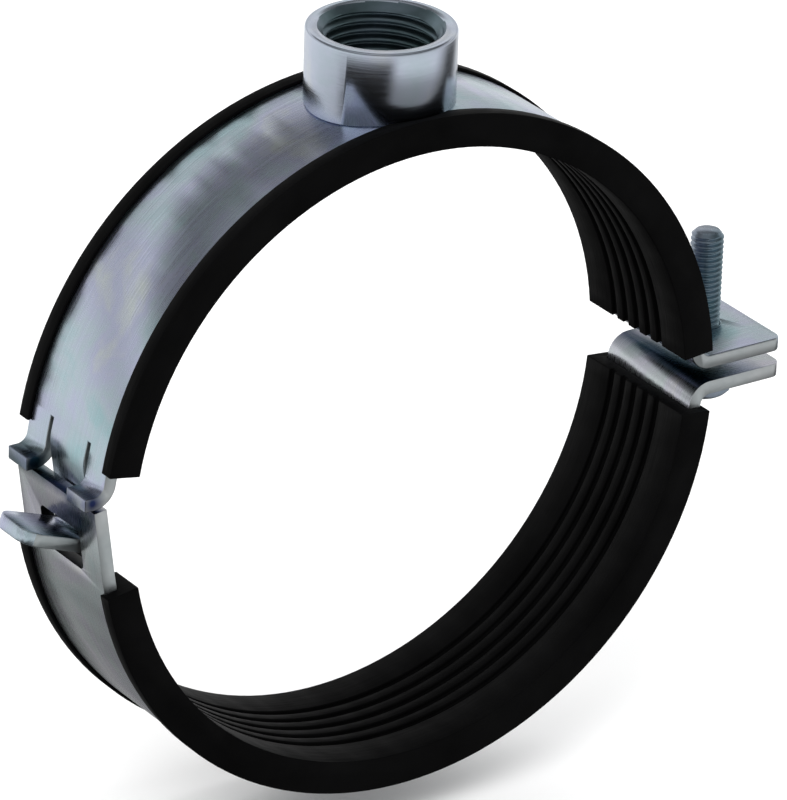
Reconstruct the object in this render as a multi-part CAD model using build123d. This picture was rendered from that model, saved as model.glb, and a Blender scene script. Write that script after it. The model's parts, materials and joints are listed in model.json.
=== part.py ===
from build123d import *
import math
import os

# Rubber lined pipe clamp in two halves, for a steel pipe of 114.3 mm.
# Frame: the origin is the centre of the pipe seat, +Y is the pipe axis, +Z points out of the boss.
# The halves part at the plane z = 0. They hook together at -X, and one screw draws them up at +X.
# All sizes are in millimetres.

# Pipe and rubber liner
PIPE_D = 114.3                # outside diameter of the pipe
LINER_BASE_T = 3.0            # rubber between the pipe and the steel
LINER_W = 29.4                # width of the rubber along the pipe
LINER_LIP_T = 0.6             # lip that grips over the strip's outer face
LINER_LIP_REACH = 0.6         # how far that lip comes in over the strip's edge
RIB_COUNT = 4                 # ribs that run round the pipe
RIB_PITCH = 3.4
RIB_GROOVE_W = 1.4
RIB_GROOVE_DEPTH = 0.8
LINER_END_SCREW_DEG = 5.3     # where both liners stop before the ears, from the split plane
LINER_END_HOOK_UP_DEG = 10.2  # where the upper liner stops before the hook
LINER_END_HOOK_LOW_DEG = 10.6  # where the lower liner stops before the hook

# Steel strip
STRIP_T = 2.5
STRIP_W = 25.0

# Ears at the screw
EAR_REACH = 17.35             # from the round of the band to the tip of the ears
EAR_GAP = 2.5                 # gap between the two ears, closed by the screw on a real pipe
EAR_BEND_R = 1.8              # hollow side of the bend between band and ear
EAR_CORNER_R = 2.0

# Closing screw, M6
SCREW_OUT = 8.85              # from the round of the band to the screw's axis
SCREW_D = 6.0
SCREW_L = 27.0                # under the head
SCREW_TIP_CHAMFER = 0.8
THREAD_FIT = 0.05             # radial play in the tapped ear
HEAD_AF = 10.0
HEAD_H = 4.0
HEAD_CHAMFER = 0.5
DRIVE_SLOT_W = 1.2
DRIVE_SLOT_DEPTH = 1.8
COLLAR_WALL = 1.3             # wall of the collar drawn out of the ear for the thread
COLLAR_H = 1.5

# Washer held under the screw head
WASHER_D = 12.0
WASHER_T = 1.6
WASHER_PLAY = 0.08            # radial play on the screw
WASHER_SEAT_PLAY = 0.05       # play between the washer and the lower ear, at rest

# Oblong hole in the lower ear
EAR_HOLE_W = 7.0
EAR_HOLE_INNER_PLAY = 0.5     # play on the side of the band
EAR_HOLE_SWING_PLAY = 2.3     # play on the side of the tip, taken up as the half swings

# Hook: a tongue of the upper half reaches out through a slot in the end plate of the lower half
PLATE_START_DEG = 8.0         # where the end plate leaves the round of the lower band
PLATE_TOP_Z = 4.3
TONGUE_W = 11.0
TONGUE_START_DEG = 13.0       # where the tongue starts to leave the round of the upper band
TONGUE_GAP = 0.3              # play between the tongue and the end plate
TONGUE_KNEE_R = 8.0           # slow bend where the tongue leans in, on its middle line
TONGUE_HOOK_R = 2.25          # tight bend into the slot, on its middle line
TONGUE_EXIT_Z = -5.0          # middle line of the tongue where it crosses the end plate
TONGUE_RISE_DEG = 20.0        # how steeply the tongue rises outwards
TONGUE_REACH = 10.3           # from the round of the band to the tongue's tip
TONGUE_TIP_R = 3.5
SLOT_SIDE_PLAY = 0.8
SLOT_TOP_Z = -1.9
SLOT_FOOT_Z = -9.6
SLOT_CORNER_R = 1.2
LIP_Z = 5.95                  # middle line of the short lips beside the tongue
LIP_BEND_R = 2.0              # hollow side of the bend into a lip
LIP_REACH = 3.05              # from the round of the band to the tip of a lip
LIP_NOTCH_W = 0.9             # slit between the tongue and each lip

# Threaded boss
BOSS_D = 26.2
BOSS_H = 12.75                # from the top of the band to the mouth
BOSS_THREAD_D = 18.63         # minor diameter of a G 1/2 thread
BOSS_MOUTH_D = 22.2           # wide end of the lead-in
BOSS_MOUTH_DEPTH = 1.8
BOSS_EDGE = 0.5               # chamfer round the outside of the mouth
BOSS_RELIEF_D = 21.4          # thread runout at the foot
BOSS_RELIEF_H = 1.6           # height of that runout above the top of the band
BOSS_NOTCH_PLAY = 0.2         # play of the liner's lips round the boss

# Sizes that follow
PIPE_R = PIPE_D / 2
STRIP_IN_R = PIPE_R + LINER_BASE_T
STRIP_OUT_R = STRIP_IN_R + STRIP_T
STRIP_MID_R = STRIP_IN_R + STRIP_T / 2
EAR_MID_Z = EAR_GAP / 2 + STRIP_T / 2
EAR_FACE_Z = EAR_GAP / 2 + STRIP_T
EAR_TIP_X = STRIP_OUT_R + EAR_REACH
SCREW_X = STRIP_OUT_R + SCREW_OUT
SCREW_R = SCREW_D / 2
TONGUE_TIP_X = STRIP_OUT_R + TONGUE_REACH
LIP_TIP_X = STRIP_OUT_R + LIP_REACH
BOSS_TOP_Z = STRIP_OUT_R + BOSS_H
WASHER_TOP_Z = -EAR_FACE_Z - WASHER_SEAT_PLAY
EXTRA = 5.0                   # how far cutting tools pass beyond what they cut
UPWARD = (Align.CENTER, Align.CENTER, Align.MIN)  # a round piece that stands on its own z = 0


def on_circle(radius, degrees):
    """Point of a circle round the pipe axis, as x and z."""
    turn = math.radians(degrees)
    return (radius * math.cos(turn), radius * math.sin(turn))


def bend_out(height, hollow_r):
    """Bend centre and start angle of a strip that leaves the round and runs straight out at a height."""
    bend_r = hollow_r + STRIP_T / 2
    centre_z = height + bend_r
    centre_x = math.sqrt((STRIP_MID_R + bend_r) ** 2 - centre_z ** 2)
    start = math.degrees(math.atan2(centre_z, centre_x))
    return bend_r, centre_x, centre_z, start


def flange_path(height, hollow_r, tip_x):
    """Middle line of a flange at +X above the split plane, from the end of the round to its tip."""
    bend_r, centre_x, centre_z, start = bend_out(height, hollow_r)
    bend = CenterArc((centre_x, centre_z), bend_r, 180 + start, 90 - start)
    flat = Line((centre_x, height), (tip_x, height))
    return bend + flat, start


def bent_strip(path, width):
    """Steel strip of the given width that follows a middle line drawn in the XZ plane."""
    section = trace(path, line_width=STRIP_T)
    return extrude(Plane.XZ * section, amount=width / 2, both=True)


def rounded_tip(strip, radius, side):
    """Round the two corners at the tip of a strip: side is 1 for a tip at +X and -1 at -X."""
    upright = strip.edges().filter_by(lambda edge: abs(edge.length - STRIP_T) < 0.001)
    corners = upright.filter_by(GeomType.LINE).sort_by(Axis.X)
    return fillet(corners[-2:] if side > 0 else corners[:2], radius)


def ear(hole):
    """Upper ear with its bend, ready to be joined to the round or to be turned over."""
    path, start = flange_path(EAR_MID_Z, EAR_BEND_R, EAR_TIP_X)
    plate = rounded_tip(bent_strip(path, STRIP_W), EAR_CORNER_R, 1)
    return plate - hole, start


def tongue_corner():
    """Corner of the tongue's middle line, where it would turn outwards if it were not rounded."""
    lean = math.radians(PLATE_START_DEG)
    offset = STRIP_IN_R - TONGUE_GAP - STRIP_T / 2
    rise = math.tan(math.radians(TONGUE_RISE_DEG))
    plate_x = TONGUE_EXIT_Z * math.tan(lean) - STRIP_MID_R / math.cos(lean)
    # The leaning line is x cos(lean) + z sin(lean) = -offset, the rising one passes the plate's middle
    level = TONGUE_EXIT_Z + rise * plate_x
    x = (-offset - level * math.sin(lean)) / (math.cos(lean) - rise * math.sin(lean))
    return x, level - rise * x


def tongue():
    """Tongue of the upper half: it leans in behind the end plate, then hooks out through the slot."""
    lean = math.radians(PLATE_START_DEG)
    offset = STRIP_IN_R - TONGUE_GAP - STRIP_T / 2
    start_x, start_z = on_circle(STRIP_MID_R, 180 - TONGUE_START_DEG)
    fall_x, fall_z = -math.sin(math.radians(TONGUE_START_DEG)), -math.cos(math.radians(TONGUE_START_DEG))
    reach = (-offset - start_x * math.cos(lean) - start_z * math.sin(lean))
    reach /= fall_x * math.cos(lean) + fall_z * math.sin(lean)
    knee = (start_x + reach * fall_x, start_z + reach * fall_z)
    corner_x, corner_z = tongue_corner()
    rise = math.tan(math.radians(TONGUE_RISE_DEG))
    tip = (-TONGUE_TIP_X, corner_z + rise * (TONGUE_TIP_X + corner_x))
    corners = ((start_x, start_z), knee, (corner_x, corner_z), tip)
    path = FilletPolyline(*corners, radius=(TONGUE_KNEE_R, TONGUE_HOOK_R))
    return rounded_tip(bent_strip(path, TONGUE_W), TONGUE_TIP_R, -1)


def side_lips():
    """Short lips beside the tongue, which keep the end plate of the lower half from riding up."""
    path, start = flange_path(LIP_Z, LIP_BEND_R, LIP_TIP_X)
    round_part = CenterArc((0, 0), STRIP_MID_R, start, TONGUE_START_DEG - start)
    lips = bent_strip(path + round_part, STRIP_W).mirror(Plane.YZ)
    return lips - Box(4 * PIPE_R, TONGUE_W + 2 * LIP_NOTCH_W, 4 * PIPE_R)


def upper_band():
    """Upper half of the steel band: ear with a tapped collar, round, lips and tongue."""
    collar_z = EAR_GAP / 2 - COLLAR_H
    tapped = Pos(SCREW_X, 0, 0) * Cylinder(SCREW_R + THREAD_FIT, 6 * STRIP_T)
    plate, start = ear(tapped)
    collar = Pos(SCREW_X, 0, collar_z) * Cylinder(SCREW_R + COLLAR_WALL, COLLAR_H, align=UPWARD) - tapped
    round_part = bent_strip(CenterArc((0, 0), STRIP_MID_R, start, 180 - TONGUE_START_DEG - start), STRIP_W)
    return round_part + plate + collar + side_lips() + tongue()


def ear_hole():
    """Oblong hole of the lower ear, longer towards the tip so that the ear can swing away."""
    inner = SCREW_X - SCREW_R - EAR_HOLE_INNER_PLAY
    outer = SCREW_X + SCREW_R + EAR_HOLE_SWING_PLAY
    outline = SlotOverall(outer - inner, EAR_HOLE_W)
    return Pos((inner + outer) / 2, 0, 0) * extrude(outline, amount=3 * STRIP_T, both=True)


def plate_top():
    """Middle of the end plate's upper edge, where the lower half turns, as x and z."""
    lean = math.radians(PLATE_START_DEG)
    return (-(STRIP_MID_R + PLATE_TOP_Z * math.sin(lean)) / math.cos(lean), PLATE_TOP_Z)


def lower_band():
    """Lower half of the steel band: ear, round and the slotted end plate that hangs on the tongue."""
    plate, start = ear(ear_hole())
    plate = plate.mirror(Plane.XY)
    arc_size = 180 - start - PLATE_START_DEG
    round_part = CenterArc((0, 0), STRIP_MID_R, 180 + PLATE_START_DEG, arc_size)
    end_plate = Line(on_circle(STRIP_MID_R, 180 + PLATE_START_DEG), plate_top())
    band = bent_strip(round_part + end_plate, STRIP_W) + plate
    slot = RectangleRounded(TONGUE_W + 2 * SLOT_SIDE_PLAY, SLOT_TOP_Z - SLOT_FOOT_Z, SLOT_CORNER_R)
    cutter = extrude(Plane.YZ * slot, amount=2 * EXTRA, both=True)
    return band - Pos(-STRIP_MID_R, 0, (SLOT_TOP_Z + SLOT_FOOT_Z) / 2) * cutter


def liner_section():
    """Section of the rubber at +X: a ribbed base with two walls that fold over the strip's edges."""
    lip_out_r = STRIP_OUT_R + LINER_LIP_T
    outline = Rectangle(lip_out_r - PIPE_R, LINER_W, align=(Align.MIN, Align.CENTER))
    section = Pos(PIPE_R, 0) * outline
    seat = Rectangle(STRIP_T, STRIP_W, align=(Align.MIN, Align.CENTER))
    section -= Pos(STRIP_IN_R, 0) * seat
    mouth = Rectangle(EXTRA, STRIP_W - 2 * LINER_LIP_REACH, align=(Align.MIN, Align.CENTER))
    section -= Pos(STRIP_OUT_R, 0) * mouth
    groove = Rectangle(2 * RIB_GROOVE_DEPTH, RIB_GROOVE_W)
    for number in range(RIB_COUNT + 1):
        section -= Pos(PIPE_R, (number - RIB_COUNT / 2) * RIB_PITCH) * groove
    return section


def liner(first_deg, last_deg):
    """Rubber liner between two angles, both measured from +X towards +Z."""
    start = Plane.XY.rotated((0, -first_deg, 0))
    return revolve(start * liner_section(), axis=Axis.Y, revolution_arc=-(last_deg - first_deg))


def upper_rubber():
    """Upper liner, with its lips cut away round the boss."""
    rubber = liner(LINER_END_SCREW_DEG, 180 - LINER_END_HOOK_UP_DEG)
    notch = Pos(0, 0, STRIP_MID_R) * Cylinder(BOSS_D / 2 + BOSS_NOTCH_PLAY, STRIP_OUT_R, align=UPWARD)
    notch -= Rot(X=90) * Cylinder(STRIP_OUT_R, 2 * LINER_W)
    return rubber - notch


def lower_rubber():
    """Lower liner."""
    return liner(180 + LINER_END_HOOK_LOW_DEG, 360 - LINER_END_SCREW_DEG)


def boss():
    """Hollow boss with a saddle foot that stands on the band, open at the top."""
    bottom = STRIP_IN_R
    body = Pos(0, 0, bottom) * Cylinder(BOSS_D / 2, BOSS_TOP_Z - bottom, align=UPWARD)
    body = chamfer(body.edges().group_by(Axis.Z)[-1], BOSS_EDGE)
    body -= Rot(X=90) * Cylinder(STRIP_OUT_R, 2 * LINER_W)
    body -= Pos(0, 0, BOSS_TOP_Z) * Cylinder(BOSS_THREAD_D / 2, 2 * BOSS_TOP_Z)
    body -= Pos(0, 0, STRIP_OUT_R) * Cylinder(BOSS_RELIEF_D / 2, 2 * BOSS_RELIEF_H)
    mouth = Cone(BOSS_THREAD_D / 2, BOSS_MOUTH_D / 2, BOSS_MOUTH_DEPTH, align=UPWARD)
    return body - Pos(0, 0, BOSS_TOP_Z - BOSS_MOUTH_DEPTH) * mouth


def closing_screw():
    """Screw that comes up through the lower ear: shank, hexagon head and a slot for a screwdriver."""
    seat_z = WASHER_TOP_Z - WASHER_T
    shank = Cylinder(SCREW_R, SCREW_L, align=UPWARD)
    shank = chamfer(shank.edges().group_by(Axis.Z)[-1], SCREW_TIP_CHAMFER)
    head = extrude(RegularPolygon(HEAD_AF / 2, 6, major_radius=False), amount=-HEAD_H)
    corner_r = HEAD_AF / math.sqrt(3)
    trim = Cone(corner_r - 2 * HEAD_CHAMFER, corner_r + 3 * HEAD_H, 3 * HEAD_H + 2 * HEAD_CHAMFER)
    trim = Pos(0, 0, (3 * HEAD_H + 2 * HEAD_CHAMFER) / 2 - HEAD_H) * trim
    slot = Pos(0, 0, -HEAD_H) * Box(4 * HEAD_AF, DRIVE_SLOT_W, 2 * DRIVE_SLOT_DEPTH)
    return Pos(SCREW_X, 0, seat_z) * (shank + (head & trim) - slot)


def captive_washer():
    """Washer that stays on the screw and spans the oblong hole."""
    ring = Cylinder(WASHER_D / 2, WASHER_T) - Cylinder(SCREW_R + WASHER_PLAY, 2 * WASHER_T)
    return Pos(SCREW_X, 0, WASHER_TOP_Z - WASHER_T / 2) * ring


PIECES = {
    "upper_band": upper_band,
    "lower_band": lower_band,
    "upper_rubber": upper_rubber,
    "lower_rubber": lower_rubber,
    "boss": boss,
    "closing_screw": closing_screw,
    "captive_washer": captive_washer,
}

os.makedirs("parts", exist_ok=True)
for name, make in PIECES.items():
    export_step(make(), f"parts/{name}.step")
print("hinge of the lower half at x, z:", plate_top())
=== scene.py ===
import json
import math

import bmesh
import bpy
from mathutils import Matrix, Vector


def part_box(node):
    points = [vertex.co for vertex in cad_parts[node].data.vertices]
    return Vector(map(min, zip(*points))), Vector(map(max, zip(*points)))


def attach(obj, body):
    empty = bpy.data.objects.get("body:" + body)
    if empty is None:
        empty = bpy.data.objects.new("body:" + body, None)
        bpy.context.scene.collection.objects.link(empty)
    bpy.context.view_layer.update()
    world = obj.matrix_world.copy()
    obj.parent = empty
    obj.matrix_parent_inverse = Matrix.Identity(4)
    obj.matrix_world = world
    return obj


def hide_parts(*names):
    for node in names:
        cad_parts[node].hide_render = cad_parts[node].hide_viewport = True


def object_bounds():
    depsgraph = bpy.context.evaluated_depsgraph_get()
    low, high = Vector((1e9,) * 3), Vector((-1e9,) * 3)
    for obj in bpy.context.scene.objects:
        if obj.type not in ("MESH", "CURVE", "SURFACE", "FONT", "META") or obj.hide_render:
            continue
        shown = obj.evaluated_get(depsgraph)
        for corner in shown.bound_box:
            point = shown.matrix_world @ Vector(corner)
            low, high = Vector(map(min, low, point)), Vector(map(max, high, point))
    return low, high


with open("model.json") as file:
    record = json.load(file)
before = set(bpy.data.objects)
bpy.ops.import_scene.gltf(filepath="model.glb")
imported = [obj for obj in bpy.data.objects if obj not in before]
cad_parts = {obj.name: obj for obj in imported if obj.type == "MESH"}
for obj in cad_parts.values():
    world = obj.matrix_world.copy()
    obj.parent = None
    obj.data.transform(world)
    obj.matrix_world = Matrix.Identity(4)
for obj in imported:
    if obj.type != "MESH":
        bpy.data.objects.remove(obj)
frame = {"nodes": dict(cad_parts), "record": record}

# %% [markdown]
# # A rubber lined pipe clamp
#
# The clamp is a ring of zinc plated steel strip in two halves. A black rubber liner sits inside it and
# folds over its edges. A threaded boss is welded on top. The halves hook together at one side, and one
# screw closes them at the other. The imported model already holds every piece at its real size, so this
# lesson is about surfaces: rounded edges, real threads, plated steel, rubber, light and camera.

MM = 0.001
cad_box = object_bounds()
print("nodes:", sorted(frame["nodes"]))

# %% [markdown]
# ## Where things are
#
# Sizes come from the frame wherever it can give them. The boss stands on the round of the band, so the
# lowest points of its saddle foot lie on the band, and that gives the band's radius. The record gives
# the radius of the threaded hole. The washer tells where the screw's axis is and where its head starts.
# A thread's pitch and depth are standard values. They can't be read from the frame, so they are named.

# %% Sizes of the real object
BOSS_LOW, BOSS_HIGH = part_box("boss")
SCREW_LOW, SCREW_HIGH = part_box("closing_screw")
WASHER_LOW, WASHER_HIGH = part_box("captive_washer")
BOSS_R = (BOSS_HIGH.x - BOSS_LOW.x) / 2
BAND_R = math.hypot(BOSS_R, BOSS_LOW.z)
SCREW_X = (WASHER_LOW.x + WASHER_HIGH.x) / 2
SWING_ROOM = 7.8 * MM
FLOOR_Z = cad_box[0][2] - SWING_ROOM
print("boss radius:", round(BOSS_R / MM, 2), "mm, band radius:", round(BAND_R / MM, 2), "mm")
print("screw axis at x =", round(SCREW_X / MM, 2), "mm")


# %% [markdown]
# ## Camera first
#
# The clamp is seen from the left, in front and above, with a very long lens, so that its two sides
# hardly converge. A camera points along its own -Z, so its three axes are worked out from the azimuth,
# the height angle and a small roll, and become the columns of its matrix. The ring isn't in the middle
# of the picture, so the camera itself moves sideways a little. That keeps the lens shift at zero.

# %% The camera
VIEW_AZIMUTH = math.radians(34.6)
VIEW_HEIGHT = math.radians(25.2)
VIEW_ROLL = math.radians(1.9)
VIEW_DISTANCE = 1.294
VIEW_REACH = 50.0
SENSOR_MM = 36.0
LENS_MM = 335.1
AIM_RIGHT = 4.26 * MM
AIM_UP = 4.69 * MM


def camera_axes():
    """Right, up and forward directions of the camera."""
    level = math.cos(VIEW_HEIGHT)
    forward = Vector((math.sin(VIEW_AZIMUTH) * level, math.cos(VIEW_AZIMUTH) * level,
                      -math.sin(VIEW_HEIGHT)))
    right = Vector((math.cos(VIEW_AZIMUTH), -math.sin(VIEW_AZIMUTH), 0))
    up = right.cross(forward)
    roll = Matrix.Rotation(-VIEW_ROLL, 3, forward)
    return roll @ right, roll @ up, forward


def add_camera():
    """Long lens camera that looks at the clamp."""
    right, up, forward = camera_axes()
    data = bpy.data.cameras.new("view_camera")
    data.sensor_width = SENSOR_MM
    data.lens = LENS_MM
    data.clip_end = VIEW_REACH
    camera = bpy.data.objects.new("view_camera", data)
    place = Matrix((right, up, -forward)).transposed().to_4x4()
    place.translation = right * AIM_RIGHT + up * AIM_UP - forward * VIEW_DISTANCE
    camera.matrix_world = place
    bpy.context.scene.collection.objects.link(camera)
    bpy.context.scene.camera = camera
    return camera


camera = add_camera()
print("camera at", [round(value, 3) for value in camera.matrix_world.translation])

# %% [markdown]
# ## Small helpers for materials
#
# A material here is a short chain of nodes. Six helpers keep the recipes readable. One makes the
# material and one adds a node with its settings. One gives a noise pattern on Object coordinates with
# its own stretch, because most finishes on this clamp are noise at some scale. The last three turn such
# a pattern into a colour, into a number or into relief.

# %% Material helpers
def new_material(name):
    """Empty node material with its main shader."""
    material = bpy.data.materials.new(name)
    material.use_nodes = True
    return material, material.node_tree, material.node_tree.nodes["Principled BSDF"]


def add_node(tree, kind, **settings):
    """Node of a kind, with its settings and plain input values."""
    node = tree.nodes.new(kind)
    for key, value in settings.items():
        if key.startswith("in_"):
            node.inputs[key[3:].replace("_", " ")].default_value = value
        else:
            setattr(node, key, value)
    return node


def noise(tree, stretch, detail=3.0, roughness=0.5, distortion=0.0):
    """Noise on Object coordinates, with so many lumps to a metre along each axis."""
    coordinates = add_node(tree, "ShaderNodeTexCoord")
    mapping = add_node(tree, "ShaderNodeMapping", in_Scale=stretch)
    pattern = add_node(tree, "ShaderNodeTexNoise", in_Scale=1.0, in_Detail=detail,
                       in_Roughness=roughness, in_Distortion=distortion)
    tree.links.new(coordinates.outputs["Object"], mapping.inputs["Vector"])
    tree.links.new(mapping.outputs["Vector"], pattern.inputs["Vector"])
    return pattern.outputs["Fac"]


def ramp(tree, source, stops):
    """Colour of a ramp with stops of (place, colour)."""
    node = add_node(tree, "ShaderNodeValToRGB")
    elements = node.color_ramp.elements
    while len(elements) < len(stops):
        elements.new(0.5)
    for element, (place, colour) in zip(elements, stops):
        element.position = place
        element.color = (*colour, 1.0)
    tree.links.new(source, node.inputs["Fac"])
    return node.outputs["Color"]


def spread(tree, source, low, high, from_low=0.3, from_high=0.7):
    """Number that runs from low to high as the source runs between two values."""
    node = add_node(tree, "ShaderNodeMapRange", in_From_Min=from_low, in_From_Max=from_high,
                    in_To_Min=low, in_To_Max=high)
    tree.links.new(source, node.inputs["Value"])
    return node.outputs["Result"]


def bump(tree, source, height, shader):
    """Fine relief of a height in metres on a shader."""
    node = add_node(tree, "ShaderNodeBump", in_Strength=1.0, in_Distance=height)
    tree.links.new(source, node.inputs["Height"])
    tree.links.new(node.outputs["Normal"], shader.inputs["Normal"])


print("material helpers ready")

# %% [markdown]
# ## Zinc plated steel
#
# Bright zinc with a blue passivation isn't one colour. It is a pale metal whose tint drifts between
# blue-green, a touch of violet and a warm grey over a centimetre or two. The strip was rolled, so it
# also has faint lines along its length. Here that means lines that run round the ring, which is noise
# stretched hard in X and Z and left fine in Y. The roughness wanders a little too, and that breaks up
# reflections more convincingly than any colour does.
#
# At the tight bends of the lip and the ears, on the plate under the lip and round the tongue's root,
# shade falls and the metal reflects dark parts. That shade and dark reflection is painted into the
# colour, as dark bluish zinc. Each such patch is a line along Y, because every bend of this strip runs
# along the pipe. Its distance is measured in the XZ plane: a Mapping node flattens Y before the
# distance is taken, and a little noise frays its edge.

# %% Zinc with painted shade in its bends
BLUE_TINTS = (
    (0.30, (0.38, 0.54, 0.58)),
    (0.44, (0.46, 0.55, 0.61)),
    (0.56, (0.48, 0.51, 0.66)),
    (0.70, (0.55, 0.60, 0.61)),
)
GREY_TINTS = (
    (0.30, (0.46, 0.55, 0.56)),
    (0.46, (0.52, 0.57, 0.58)),
    (0.58, (0.53, 0.53, 0.60)),
    (0.72, (0.58, 0.59, 0.58)),
)
# Dark bluish tints that paint shade and dark reflections into the bends.
PAINTED_SHADE_TINTS = (
    (0.38, (0.012, 0.055, 0.06)),
    (0.50, (0.015, 0.045, 0.075)),
    (0.62, (0.025, 0.035, 0.11)),
)
CLOUD = (70, 70, 70)
# Painted shade is full within 0.75 of its reach and gone past 1.5 of it.
PAINTED_SHADE_FULL, PAINTED_SHADE_GONE = 0.75, 1.5
SMOOTHER, ROUGHER = 0.05, 0.07


def near_line(tree, x, z, reach, fray):
    """Number that is 1 on a line along Y at x and z, and fades to 0 within a reach."""
    coordinates = add_node(tree, "ShaderNodeTexCoord")
    flat = add_node(tree, "ShaderNodeMapping", in_Location=(-x, 0, -z), in_Scale=(1, 0, 1))
    length = add_node(tree, "ShaderNodeVectorMath", operation="LENGTH")
    tree.links.new(coordinates.outputs["Object"], flat.inputs["Vector"])
    tree.links.new(flat.outputs["Vector"], length.inputs[0])
    ragged = add_node(tree, "ShaderNodeMath", operation="MULTIPLY_ADD")
    ragged.inputs[1].default_value = reach
    tree.links.new(fray, ragged.inputs[0])
    tree.links.new(length.outputs["Value"], ragged.inputs[2])
    return spread(tree, ragged.outputs["Value"], 1.0, 0.0, reach * PAINTED_SHADE_FULL, reach * PAINTED_SHADE_GONE)


def zinc(name, roughness, lines, relief, tints=BLUE_TINTS, painted_shades=()):
    """Zinc plating with fine lines, relief in metres and painted shade along lines at (x, z, reach)."""
    material, tree, shader = new_material(name)
    shader.inputs["Metallic"].default_value = 1.0
    cloud = noise(tree, CLOUD, detail=4.0, roughness=0.6, distortion=0.4)
    colour = ramp(tree, cloud, tints)
    # Each line of painted shade blends the dark bluish tints over the zinc's own colour.
    for x, z, reach in painted_shades:
        blend = add_node(tree, "ShaderNodeMix", data_type="RGBA")
        tree.links.new(ramp(tree, cloud, PAINTED_SHADE_TINTS), blend.inputs["B"])
        tree.links.new(near_line(tree, x, z, reach, cloud), blend.inputs["Factor"])
        tree.links.new(colour, blend.inputs["A"])
        colour = blend.outputs["Result"]
    tree.links.new(colour, shader.inputs["Base Color"])
    grain = noise(tree, lines, detail=5.0, roughness=0.65)
    wander = spread(tree, grain, roughness - SMOOTHER, roughness + ROUGHER)
    tree.links.new(wander, shader.inputs["Roughness"])
    bump(tree, grain, relief, shader)
    return material


# Lines of painted shade and dark reflection, as (x, z, reach): the lip's bend, the plate under it, the
# tongue's root and the bends of the two ears.
LIP_PAINTED_SHADE = (-64.2 * MM, 6.2 * MM, 3.1 * MM)
PLATE_PAINTED_SHADE = (-63.2 * MM, 4.4 * MM, 2.4 * MM)
TONGUE_PAINTED_SHADE = (-65.6 * MM, -3.2 * MM, 4.3 * MM)
UPPER_EAR_PAINTED_SHADE = (62.3 * MM, 3.0 * MM, 3.0 * MM)
LOWER_EAR_PAINTED_SHADE = (63.6 * MM, -0.6 * MM, 4.3 * MM)
ROLLED = {"roughness": 0.27, "lines": (60, 2600, 60), "relief": 0.000012}
UPPER_ZINC = zinc("zinc_on_upper_band", **ROLLED, painted_shades=(LIP_PAINTED_SHADE, TONGUE_PAINTED_SHADE, UPPER_EAR_PAINTED_SHADE))
LOWER_ZINC = zinc("zinc_on_lower_band", **ROLLED, tints=GREY_TINTS, painted_shades=(PLATE_PAINTED_SHADE, LOWER_EAR_PAINTED_SHADE))
print("strip finishes:", UPPER_ZINC.name, LOWER_ZINC.name)

# %% [markdown]
# ## Sheared edges, turned parts and threads
#
# The strip was cut from a coil, so its narrow edges are rougher than its faces. They get their own
# duller zinc, with a short grain that runs no way in particular. The boss was turned, so its lines run
# round its own axis. The thread and the lead-in cone get a much darker zinc, which is painted shade
# inside the bore. The slot's walls get a near-black zinc, which is painted shade inside the slot.

# %% Zinc on cut edges, boss, threads and screw
CUT_TINTS = ((0.3, (0.42, 0.47, 0.48)), (0.7, (0.55, 0.57, 0.58)))
# Near-black tints that paint the shade inside the slot.
SLOT_SHADE_TINTS = ((0.3, (0.01, 0.011, 0.012)), (0.7, (0.02, 0.02, 0.022)))
TURNED_TINTS = ((0.3, (0.47, 0.57, 0.62)), (0.55, (0.54, 0.59, 0.70)), (0.75, (0.62, 0.66, 0.68)))
# Dark tints that paint the shade inside the boss's bore.
BORE_SHADE_TINTS = ((0.3, (0.10, 0.16, 0.165)), (0.7, (0.24, 0.30, 0.37)))
SCREW_TINTS = ((0.3, (0.16, 0.27, 0.30)), (0.5, (0.22, 0.30, 0.36)), (0.7, (0.34, 0.38, 0.46)))
# The cut edges get the painted shade of the lip's bend as well.
CUT_ZINC = zinc("zinc_on_cut_edges", roughness=0.42, lines=(900, 900, 900), relief=0.00002,
                tints=CUT_TINTS, painted_shades=(LIP_PAINTED_SHADE,))
PAINTED_SLOT_SHADE = zinc("dark_wall_of_punched_slot", roughness=0.5, lines=(900, 900, 900), relief=0.00002,
                     tints=SLOT_SHADE_TINTS)
TURNED_ZINC = zinc("zinc_on_turned_boss", roughness=0.2, lines=(120, 120, 3200), relief=0.000008,
                   tints=TURNED_TINTS)
THREAD_ZINC_WITH_PAINTED_SHADE = zinc("zinc_in_thread_with_painted_shade", roughness=0.34, lines=(200, 200, 2600), relief=0.000008,
                   tints=BORE_SHADE_TINTS)
SCREW_ZINC = zinc("zinc_on_screw", roughness=0.3, lines=(1200, 1200, 1200), relief=0.00001,
                  tints=SCREW_TINTS)
print("edge, slot, boss, thread and screw finishes ready")

# %% [markdown]
# ## Rubber
#
# The liner is extruded rubber: nearly black, neither glossy nor quite matt. Extrusion leaves fine lines
# along the profile, which run round the ring, and the surface has a slight bloom that lifts the black
# in patches.

# %% The liner's rubber
RUBBER_TINTS = ((0.35, (0.0012, 0.0012, 0.0013)), (0.7, (0.0032, 0.0032, 0.0034)))
RUBBER_ROUGHNESS = (0.5, 0.64)
RUBBER_SHINE = 0.045
BLOOM_PATCHES = (45, 45, 45)
EXTRUDED_LINES = (150, 3800, 150)
EXTRUDED_RELIEF = 0.00002


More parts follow.
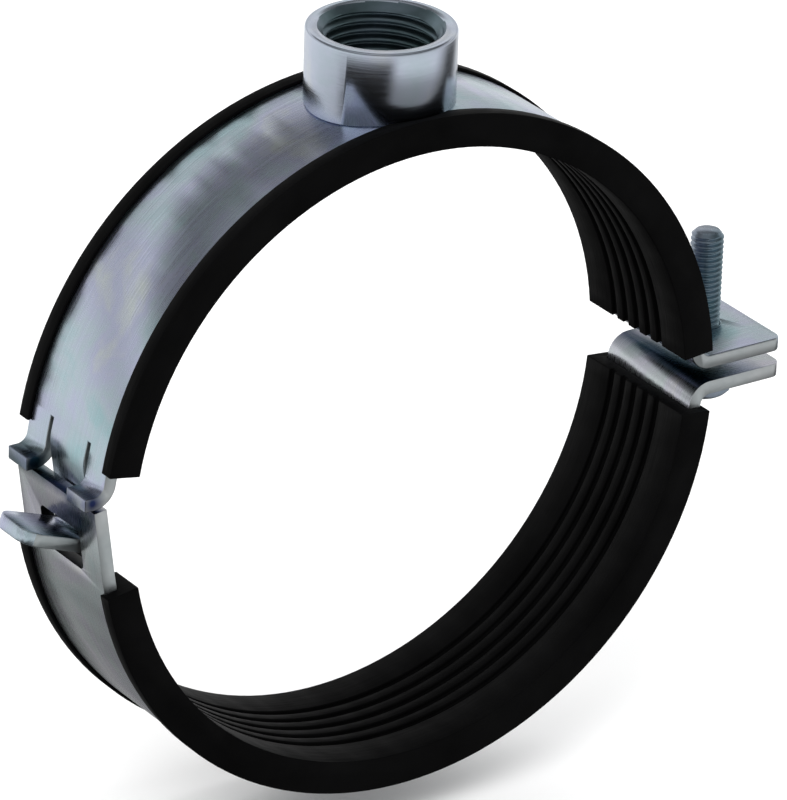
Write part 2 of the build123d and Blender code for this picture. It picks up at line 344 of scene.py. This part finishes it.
def rubber():
    """Black extruded rubber with a faint bloom."""
    material, tree, shader = new_material("black_extruded_rubber")
    bloom = noise(tree, BLOOM_PATCHES, detail=5.0, roughness=0.6)
    tree.links.new(ramp(tree, bloom, RUBBER_TINTS), shader.inputs["Base Color"])
    lines = noise(tree, EXTRUDED_LINES, detail=4.0)
    tree.links.new(spread(tree, lines, *RUBBER_ROUGHNESS), shader.inputs["Roughness"])
    shader.inputs["Specular IOR Level"].default_value = RUBBER_SHINE
    bump(tree, lines, EXTRUDED_RELIEF, shader)
    return material


RUBBER = rubber()
print("liner finish:", RUBBER.name)

# %% [markdown]
# ## Dressing a sheet metal piece
#
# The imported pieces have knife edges. Real strip has edges rounded by a few tenths of a millimetre, and
# those catch the light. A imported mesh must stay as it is, so each piece is copied, its doubled corners
# are merged, its flat triangles are joined back into faces, and a bevel rounds every sharp edge. The
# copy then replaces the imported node. Joining the triangles first matters: a bevel works on edges, and
# a flat face cut into slivers would give it false ones.

# %% Copy of a node with rounded edges
MERGE_DISTANCE = 0.000002
FLAT_ANGLE = math.radians(1.0)
SHARP_ANGLE = math.radians(35)


def link(piece):
    """Put a new object in the scene."""
    bpy.context.scene.collection.objects.link(piece)
    return piece


def clean_copy(node):
    """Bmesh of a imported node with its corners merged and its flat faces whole."""
    mesh = bmesh.new()
    mesh.from_mesh(frame["nodes"][node].data)
    bmesh.ops.remove_doubles(mesh, verts=mesh.verts, dist=MERGE_DISTANCE)
    bmesh.ops.dissolve_limit(mesh, angle_limit=FLAT_ANGLE, verts=mesh.verts, edges=mesh.edges)
    bmesh.ops.recalc_face_normals(mesh, faces=mesh.faces)
    return mesh


def finish_mesh(mesh, name, materials):
    """Object from a bmesh, shaded smooth, with its materials."""
    data = bpy.data.meshes.new(name)
    mesh.to_mesh(data)
    mesh.free()
    for material in materials:
        data.materials.append(material)
    data.polygons.foreach_set("use_smooth", [True] * len(data.polygons))
    return link(bpy.data.objects.new(name, data))


def round_edges(piece, width):
    """Bevel on the sharp edges of a piece, with shading that keeps its faces flat."""
    bevel = piece.modifiers.new("rounded edges", "BEVEL")
    bevel.width = width
    bevel.segments = 2
    bevel.limit_method = "ANGLE"
    bevel.angle_limit = SHARP_ANGLE
    bevel.harden_normals = True
    bevel.use_clamp_overlap = True
    return piece


def stand_for(piece, body, slot, *nodes):
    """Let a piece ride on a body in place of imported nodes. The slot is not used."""
    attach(piece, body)
    if nodes:
        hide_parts(*nodes)


print("dressing helpers ready")

# %% [markdown]
# ## The two bands
#
# Faces that look along the pipe are the strip's cut edges. They are found by their normal and get the
# second material, so the duller zinc follows the metal and not a painted mask. The walls of the slot
# get a near-black zinc, which is painted shade inside the slot. They are the lower band's faces inside
# the slot's own box.

# %% Bands with rounded and dull edges
EDGE_ROUND = 0.35 * MM
ALONG_PIPE = 0.9
OUT_OF_PLATE = 0.55
ROLLED_FACE, CUT_FACE, SLOT_SHADE_FACE = range(3)
SLOT_LOW = Vector((-66.0, -7.0, -10.4)) * MM
SLOT_HIGH = Vector((-60.0, 7.0, -1.2)) * MM


def is_slot_wall(face):
    """Whether a face lies in the slot's box and doesn't look out of the plate."""
    middle = face.calc_center_median()
    within = all(low < value < high for low, value, high in zip(SLOT_LOW, middle, SLOT_HIGH))
    return within and abs(face.normal.x) < OUT_OF_PLATE


def dress_band(node, body, finish):
    """Band with rounded edges, and duller zinc where the strip was cut."""
    mesh = clean_copy(node)
    for face in mesh.faces:
        face.material_index = CUT_FACE if abs(face.normal.y) > ALONG_PIPE else ROLLED_FACE
        # Faces inside the slot get the near-black zinc that paints the slot's shade.
        if node == "lower_band" and is_slot_wall(face):
            face.material_index = SLOT_SHADE_FACE
    piece = finish_mesh(mesh, node + "_dressed", [finish, CUT_ZINC, PAINTED_SLOT_SHADE])
    round_edges(piece, EDGE_ROUND)
    stand_for(piece, body, "band_steel", node)
    print(piece.name, len(piece.data.polygons), "faces")
    return piece


dress_band("upper_band", "upper_half", UPPER_ZINC)
dress_band("lower_band", "lower_half", LOWER_ZINC)

# %% [markdown]
# ## The liners
#
# Rubber has rounder edges than steel, but its ribs are fine, so the bevel stays small enough to leave
# them standing.

# %% Liners with soft edges
RUBBER_ROUND = 0.2 * MM


def dress_liner(node, body):
    """Liner with softened edges."""
    piece = finish_mesh(clean_copy(node), node + "_dressed", [RUBBER])
    round_edges(piece, RUBBER_ROUND)
    stand_for(piece, body, "rubber", node)
    print(piece.name, len(piece.data.polygons), "faces")
    return piece


dress_liner("upper_rubber", "upper_half")
dress_liner("lower_rubber", "lower_half")

# %% [markdown]
# ## A line spun round an axis
#
# The boss, the washer and both threads are round, so each starts as one line of points that is spun
# about Z. For a thread the spin also climbs. If it climbs one pitch in a full turn, the last copy of the
# line lands on the first one, a pitch higher, and merging the doubles closes the helix. That is the
# whole trick of a bmesh thread. A thread's section is close to a cosine, which rounds crest and root as
# a real tap or die does.

# %% Spinning, and the section of a thread
TURN_STEPS = 96
THREAD_SAMPLES = 12
FOLD_DISTANCE = 0.00001
SLIVER_DISTANCE = 0.000001


def spin_line(mesh, points, steps, climb=0.0):
    """Spin a line of (radius, height) points about Z, and let it climb that much in the full turn."""
    verts = [mesh.verts.new((radius, 0, height)) for radius, height in points]
    edges = [mesh.edges.new(pair) for pair in zip(verts, verts[1:])]
    bmesh.ops.spin(mesh, geom=verts + edges, cent=(0, 0, 0), axis=(0, 0, 1), dvec=(0, 0, climb / steps),
                   angle=math.tau, steps=steps, use_merge=climb == 0, use_duplicate=False)
    bmesh.ops.remove_doubles(mesh, verts=mesh.verts, dist=MERGE_DISTANCE)


def thread_line(root, crest, pitch, low, high):
    """Points of a thread's section from a height to another, with whole samples to a pitch."""
    middle, half = (root + crest) / 2, (crest - root) / 2
    count = math.ceil((high - low) / pitch * THREAD_SAMPLES) + THREAD_SAMPLES
    step = pitch / THREAD_SAMPLES
    return [(middle + half * math.cos(math.tau * number / THREAD_SAMPLES), low + number * step)
            for number in range(count + 1)]


def reshape(verts, change):
    """Move points by a function that takes and returns radius and height, and also gets the angle."""
    for vert in verts:
        turn = math.atan2(vert.co.y, vert.co.x)
        radius, height = change(math.hypot(vert.co.x, vert.co.y), vert.co.z, turn)
        vert.co = (radius * math.cos(turn), radius * math.sin(turn), height)


def settle(mesh):
    """Merge the points that were pulled together and drop the faces that they flattened."""
    bmesh.ops.remove_doubles(mesh, verts=mesh.verts, dist=FOLD_DISTANCE)
    bmesh.ops.dissolve_degenerate(mesh, edges=mesh.edges, dist=SLIVER_DISTANCE)


def print_open_edges(name, mesh):
    """Print how many edges of a mesh have only one face."""
    print(name, "open edges:", sum(edge.is_boundary for edge in mesh.edges))


def crisp(piece, degrees):
    """Keep a piece's sharp edges sharp under smooth shading."""
    piece.data.set_sharp_from_angle(angle=math.radians(degrees))
    return piece


print("spinning helpers ready")

# %% [markdown]
# ## The boss
#
# The boss is a turned tube with a G 1/2 thread, welded onto the band. Its thread starts under a wide
# lead-in cone and stops in a relief near the foot. Both are cut by moving points: a point of the thread
# that lies inside the cone is pushed out onto it. Points above the mouth or below the foot are pulled to
# them, where they merge. The foot is a saddle, so its height depends on how far a point is out in X.

# %% Boss with its thread
BOSS_PITCH = 1.814 * MM
BOSS_MINOR_R = next(mount["dims"]["r_mm"] for mount in frame["record"]["mounts"]
                    if mount["name"] == "boss_thread") * MM
BOSS_MAJOR_R = 10.4775 * MM
BOSS_MOUTH_R = 11.1 * MM
BOSS_MOUTH_DEPTH = 1.8 * MM
BOSS_RELIEF_R = 10.7 * MM
BOSS_RELIEF_H = 1.6 * MM
BOSS_ROUND = 0.5 * MM
BOSS_ROUND_STEPS = 4
FOOT_ROUND = 0.25 * MM
MOUTH_RIM = 0.1 * MM
BOSS_CRISP_DEG = 50
TURNED_FACE, THREAD_FACE = range(2)
BOSS_TOP = BOSS_HIGH.z


def band_height(radius, turn):
    """Height of the band's outside under a point of the boss."""
    return math.sqrt(BAND_R ** 2 - (radius * math.cos(turn)) ** 2)


def boss_wall(radius, height, turn):
    """Thread cut by the lead-in cone above and by the relief below."""
    if height < BAND_R + BOSS_RELIEF_H:
        radius = BOSS_RELIEF_R
    slope = (BOSS_MOUTH_R - BOSS_MINOR_R) / BOSS_MOUTH_DEPTH
    cone = BOSS_MOUTH_R - max(BOSS_TOP - height, 0) * slope
    radius = max(radius, cone)
    return radius, min(max(height, band_height(radius, turn)), BOSS_TOP)


def boss_foot(radius, height, turn):
    """Foot that follows the round of the band."""
    return radius, height - (BAND_R - band_height(radius, turn))


def boss_outside():
    """Line of the boss's outside, from the inner edge of its foot to the mouth."""
    line = [(BOSS_RELIEF_R, BAND_R), (BOSS_R - FOOT_ROUND, BAND_R), (BOSS_R, BAND_R + FOOT_ROUND)]
    for number in range(BOSS_ROUND_STEPS + 1):
        turn = math.radians(90 / BOSS_ROUND_STEPS * number)
        line.append((BOSS_R - BOSS_ROUND * (1 - math.cos(turn)),
                     BOSS_TOP - BOSS_ROUND * (1 - math.sin(turn))))
    line.append((BOSS_MOUTH_R, BOSS_TOP))
    return line


def make_boss():
    """Boss as one closed mesh: outside and foot first, then the thread inside it."""
    mesh = bmesh.new()
    spin_line(mesh, boss_outside(), TURN_STEPS)
    reshape([vert for vert in mesh.verts if vert.co.z < BAND_R + 2 * FOOT_ROUND], boss_foot)
    outside = set(mesh.verts)
    low = BOSS_LOW.z - 2 * BOSS_PITCH
    thread = thread_line(BOSS_MAJOR_R, BOSS_MINOR_R, BOSS_PITCH, low, BOSS_TOP)
    spin_line(mesh, thread, TURN_STEPS, BOSS_PITCH)
    reshape([vert for vert in mesh.verts if vert not in outside], boss_wall)
    settle(mesh)
    bmesh.ops.recalc_face_normals(mesh, faces=mesh.faces)
    # Faces of the cone and the thread get the dark zinc that paints the shade inside the bore.
    for face in mesh.faces:
        middle = face.calc_center_median()
        inside = math.hypot(middle.x, middle.y) < BOSS_MOUTH_R - MOUTH_RIM
        face.material_index = THREAD_FACE if inside else TURNED_FACE
    print_open_edges("boss", mesh)
    return crisp(finish_mesh(mesh, "threaded_boss", [TURNED_ZINC, THREAD_ZINC_WITH_PAINTED_SHADE]), BOSS_CRISP_DEG)


stand_for(make_boss(), "upper_half", "boss_steel", "boss")

# %% [markdown]
# ## The closing screw
#
# The shank is made as the boss's thread was, and its tip is a cone that the points are pushed in to.
# Points below the seat are pulled to one ring just inside the head, so that the helix ends in a plain
# circle that can be closed. The head has a hexagon, a chamfer and a slot for a screwdriver. The packed
# screw has those already, so its head is kept: a copy is cut a hair under its seat and everything above
# the cut is dropped.

# %% Screw with its thread and head
SCREW_PITCH = 1.0 * MM
SCREW_CREST_R = 3.0 * MM
SCREW_ROOT_R = 2.45 * MM
SCREW_TIP_CHAMFER = 0.8 * MM
SCREW_STEPS = 40
SCREW_CRISP_DEG = 60
SHANK_IN_HEAD = 0.1 * MM
HEAD_CUT = 0.01 * MM
HEAD_HOLE_SIDES = 200
HEAD_ROUND = 0.15 * MM
SCREW_SEAT_Z = WASHER_LOW.z
SCREW_TIP_Z = SCREW_HIGH.z


def screw_shank(radius, height, turn):
    """Thread that ends in a cone at the tip and stands on the head."""
    if height < SCREW_SEAT_Z:
        radius = SCREW_ROOT_R
    cone = SCREW_CREST_R - max(height - (SCREW_TIP_Z - SCREW_TIP_CHAMFER), 0)
    tip_r = SCREW_CREST_R - SCREW_TIP_CHAMFER
    return max(min(radius, cone), tip_r), min(max(height, SCREW_SEAT_Z - SHANK_IN_HEAD), SCREW_TIP_Z)


def make_shank():
    """Threaded shank, closed at the tip and inside the head."""
    mesh = bmesh.new()
    low = SCREW_SEAT_Z - 2 * SCREW_PITCH
    thread = thread_line(SCREW_ROOT_R, SCREW_CREST_R, SCREW_PITCH, low, SCREW_TIP_Z)
    spin_line(mesh, thread, SCREW_STEPS, SCREW_PITCH)
    reshape(mesh.verts, screw_shank)
    settle(mesh)
    bmesh.ops.holes_fill(mesh, edges=mesh.edges, sides=SCREW_STEPS + 2)
    bmesh.ops.translate(mesh, verts=mesh.verts, vec=(SCREW_X, 0, 0))
    bmesh.ops.recalc_face_normals(mesh, faces=mesh.faces)
    print_open_edges("screw shank", mesh)
    return crisp(finish_mesh(mesh, "screw_shank", [SCREW_ZINC]), SCREW_CRISP_DEG)


def make_head():
    """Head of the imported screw, cut off under the washer and closed, with rounded edges."""
    mesh = clean_copy("closing_screw")
    everything = list(mesh.verts) + list(mesh.edges) + list(mesh.faces)
    bmesh.ops.bisect_plane(mesh, geom=everything, plane_co=(0, 0, SCREW_SEAT_Z - HEAD_CUT),
                           plane_no=(0, 0, 1), clear_outer=True)
    bmesh.ops.holes_fill(mesh, edges=mesh.edges, sides=HEAD_HOLE_SIDES)
    print_open_edges("screw head", mesh)
    return round_edges(finish_mesh(mesh, "screw_head", [SCREW_ZINC]), HEAD_ROUND)


stand_for(make_shank(), "screw", "screw_steel", "closing_screw")
stand_for(make_head(), "screw", "screw_steel")
print("screw from z =", round(SCREW_LOW.z / MM, 2), "to", round(SCREW_TIP_Z / MM, 2), "mm")

# %% [markdown]
# ## The washer
#
# A punched washer has one softly rounded side and one sharper side. Its section is a closed line, so
# one spin makes the whole ring.

# %% Washer with one rounded side
WASHER_R = (WASHER_HIGH.x - WASHER_LOW.x) / 2
WASHER_HOLE_R = 3.08 * MM
WASHER_SOFT = 0.3 * MM
WASHER_SOFT_MIDDLE = 0.3
WASHER_CRISP = 0.1 * MM
WASHER_CRISP_DEG = 30


def make_washer():
    """Washer spun from its section."""
    low, high = WASHER_LOW.z, WASHER_HIGH.z
    middle = WASHER_SOFT * WASHER_SOFT_MIDDLE
    line = [(WASHER_HOLE_R, low + WASHER_SOFT), (WASHER_HOLE_R + WASHER_SOFT, low),
            (WASHER_R - WASHER_SOFT, low), (WASHER_R - middle, low + middle),
            (WASHER_R, low + WASHER_SOFT), (WASHER_R, high - WASHER_CRISP),
            (WASHER_R - WASHER_CRISP, high), (WASHER_HOLE_R + WASHER_CRISP, high),
            (WASHER_HOLE_R, high - WASHER_CRISP), (WASHER_HOLE_R, low + WASHER_SOFT)]
    mesh = bmesh.new()
    spin_line(mesh, line, TURN_STEPS)
    bmesh.ops.translate(mesh, verts=mesh.verts, vec=(SCREW_X, 0, 0))
    bmesh.ops.recalc_face_normals(mesh, faces=mesh.faces)
    print_open_edges("washer", mesh)
    return crisp(finish_mesh(mesh, "punched_washer", [SCREW_ZINC]), WASHER_CRISP_DEG)


stand_for(make_washer(), "washer", "screw_steel", "captive_washer")

# %% [markdown]
# ## Floor
#
# The clamp hangs from its boss just over a plain pale floor that keeps its soft shadow. The gap leaves
# room for the lower half, which swings 7 mm down when the screw is undone. The camera sees the floor
# almost white. To every other ray it is grey, as a studio floor is once the light falls off, so that
# little light comes up from below. Polished metal doesn't see it at all: it sees the studio, further on.

# %% The floor
FLOOR_SIZE = 6.0
FLOOR_SEEN = (0.93, 0.93, 0.93, 1.0)
FLOOR_GREY = (0.4, 0.4, 0.4, 1.0)


def add_floor():
    """Wide pale floor under the clamp."""
    material, tree, shader = new_material("pale_floor")
    path = add_node(tree, "ShaderNodeLightPath")
    mix = add_node(tree, "ShaderNodeMix", data_type="RGBA")
    mix.inputs["A"].default_value = FLOOR_GREY
    mix.inputs["B"].default_value = FLOOR_SEEN
    tree.links.new(path.outputs["Is Camera Ray"], mix.inputs["Factor"])
    tree.links.new(mix.outputs["Result"], shader.inputs["Base Color"])
    shader.inputs["Roughness"].default_value = 1.0
    shader.inputs["Specular IOR Level"].default_value = 0.0
    mesh = bmesh.new()
    bmesh.ops.create_grid(mesh, x_segments=1, y_segments=1, size=FLOOR_SIZE / 2)
    bmesh.ops.translate(mesh, verts=mesh.verts, vec=(0, 0, FLOOR_Z))
    floor = finish_mesh(mesh, "floor", [material])
    floor.visible_glossy = False


add_floor()
print("floor", FLOOR_SIZE, "m wide, at z =", round(FLOOR_Z / MM, 2), "mm")

# %% [markdown]
# ## Light
#
# Plated steel shows what surrounds it. A studio for metal has white cards at the sides and behind, and
# dark gaps between them that draw stripes on round parts. The world below is that studio. It depends
# only on direction in the room, so it stays put when the camera moves: one ramp runs from the floor to
# the ceiling, and two more run round the room. The low one is what upright walls show, and the high one
# is what the top of the ring shows. The camera itself sees plain white past the floor's edge. Three
# large lamps add a soft shadow and light the rubber.

# %% The studio around the clamp
HEIGHTS = ((0.0, 0.18), (0.17, 0.31), (0.235, 0.40), (0.285, 0.85), (0.36, 1.0), (0.52, 0.98),
           (0.59, 0.64), (0.66, 0.60), (0.705, 1.0), (0.735, 1.0), (0.78, 0.20), (0.86, 0.13), (1.0, 0.5))
LOW_RING = ((0.0, 0.9), (0.07, 0.9), (0.12, 0.12), (0.17, 0.08), (0.25, 0.98), (0.42, 1.0),
            (0.46, 0.04), (0.65, 0.04), (0.69, 0.62), (0.80, 0.9), (0.88, 1.0), (1.0, 0.95))
HIGH_RING = ((0.0, 1.0), (0.08, 1.0), (0.15, 0.7), (0.45, 0.85), (0.62, 1.0), (1.0, 1.0))
LOW_FULL, LOW_NONE = -0.33, -0.18
PLAIN_LIGHT = (0.75, 0.75, 0.75, 1.0)
WHITE = (1.0, 1.0, 1.0, 1.0)
LAMPS = {
    "key_lamp": {"place": (-0.9, -0.7, 1.3), "watts": 14},
    "side_lamp": {"place": (1.1, -0.2, 0.9), "watts": 8},
    "back_lamp": {"place": (0.1, 1.2, 1.0), "watts": 8},
}
LAMP_SIZE = 0.9


def grey_ramp(tree, source, stops):
    """Grey of a ramp with stops of (place, level)."""
    return ramp(tree, source, [(place, (level, level, level)) for place, level in stops])


def negative(tree, source):
    """Number with its sign turned."""
    node = add_node(tree, "ShaderNodeMath", operation="MULTIPLY")
    node.inputs[1].default_value = -1.0
    tree.links.new(source, node.inputs[0])
    return node.outputs["Value"]


def direction_parts(tree):
    """Height of a ray's direction, and its angle round the room, which is 0 towards the camera."""
    coordinates = add_node(tree, "ShaderNodeTexCoord")
    split = add_node(tree, "ShaderNodeSeparateXYZ")
    turned = add_node(tree, "ShaderNodeVectorRotate", rotation_type="Z_AXIS", in_Angle=VIEW_AZIMUTH)
    tree.links.new(coordinates.outputs["Generated"], turned.inputs["Vector"])
    tree.links.new(turned.outputs["Vector"], split.inputs["Vector"])
    angle = add_node(tree, "ShaderNodeMath", operation="ARCTAN2")
    tree.links.new(negative(tree, split.outputs["X"]), angle.inputs[0])
    tree.links.new(negative(tree, split.outputs["Y"]), angle.inputs[1])
    return split.outputs["Z"], angle.outputs["Value"]


def studio_light(tree):
    """Colour of the studio in the direction of a ray."""
    height, angle = direction_parts(tree)
    heights = grey_ramp(tree, spread(tree, height, 0.0, 1.0, -1.0, 1.0), HEIGHTS)
    round_about = spread(tree, angle, 0.0, 1.0, -math.pi, math.pi)
    ring = add_node(tree, "ShaderNodeMix", data_type="RGBA")
    tree.links.new(spread(tree, height, 1.0, 0.0, LOW_FULL, LOW_NONE), ring.inputs["Factor"])
    tree.links.new(grey_ramp(tree, round_about, HIGH_RING), ring.inputs["A"])
    tree.links.new(grey_ramp(tree, round_about, LOW_RING), ring.inputs["B"])
    both = add_node(tree, "ShaderNodeMix", data_type="RGBA", blend_type="MULTIPLY")
    both.inputs["Factor"].default_value = 1.0
    tree.links.new(heights, both.inputs["A"])
    tree.links.new(ring.outputs["Result"], both.inputs["B"])
    return both.outputs["Result"]


def add_studio():
    """World that is white to the camera, plain light to dull surfaces and a studio to polished metal."""
    world = bpy.data.worlds.new("studio")
    bpy.context.scene.world = world
    world.use_nodes = True
    tree = world.node_tree
    tree.nodes.clear()
    path = add_node(tree, "ShaderNodeLightPath")
    choose = add_node(tree, "ShaderNodeMix", data_type="RGBA")
    choose.inputs["A"].default_value = PLAIN_LIGHT
    tree.links.new(path.outputs["Is Glossy Ray"], choose.inputs["Factor"])
    tree.links.new(studio_light(tree), choose.inputs["B"])
    seen = add_node(tree, "ShaderNodeMath", operation="MAXIMUM")
    tree.links.new(path.outputs["Is Camera Ray"], seen.inputs[0])
    tree.links.new(path.outputs["Is Transmission Ray"], seen.inputs[1])
    white = add_node(tree, "ShaderNodeMix", data_type="RGBA")
    white.inputs["B"].default_value = WHITE
    tree.links.new(seen.outputs["Value"], white.inputs["Factor"])
    tree.links.new(choose.outputs["Result"], white.inputs["A"])
    background = add_node(tree, "ShaderNodeBackground")
    output = add_node(tree, "ShaderNodeOutputWorld")
    tree.links.new(white.outputs["Result"], background.inputs["Color"])
    tree.links.new(background.outputs["Background"], output.inputs["Surface"])


def add_lamp(name, place, watts):
    """Square lamp that faces the clamp and doesn't show in the metal."""
    data = bpy.data.lights.new(name, "AREA")
    data.shape = "SQUARE"
    data.size = LAMP_SIZE
    data.energy = watts
    lamp = bpy.data.objects.new(name, data)
    lamp.location = place
    lamp.rotation_euler = (-Vector(place)).to_track_quat("-Z", "Y").to_euler()
    lamp.visible_glossy = False
    link(lamp)


add_studio()
for lamp_name, lamp_values in LAMPS.items():
    add_lamp(lamp_name, **lamp_values)
scene = bpy.context.scene
scene.view_settings.view_transform = "Standard"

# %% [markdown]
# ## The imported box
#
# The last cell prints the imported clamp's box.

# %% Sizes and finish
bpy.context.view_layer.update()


def plain(box):
    """Box as lists of plain numbers."""
    return [[float(value) for value in corner] for corner in box]


print("packed box:", plain(cad_box))
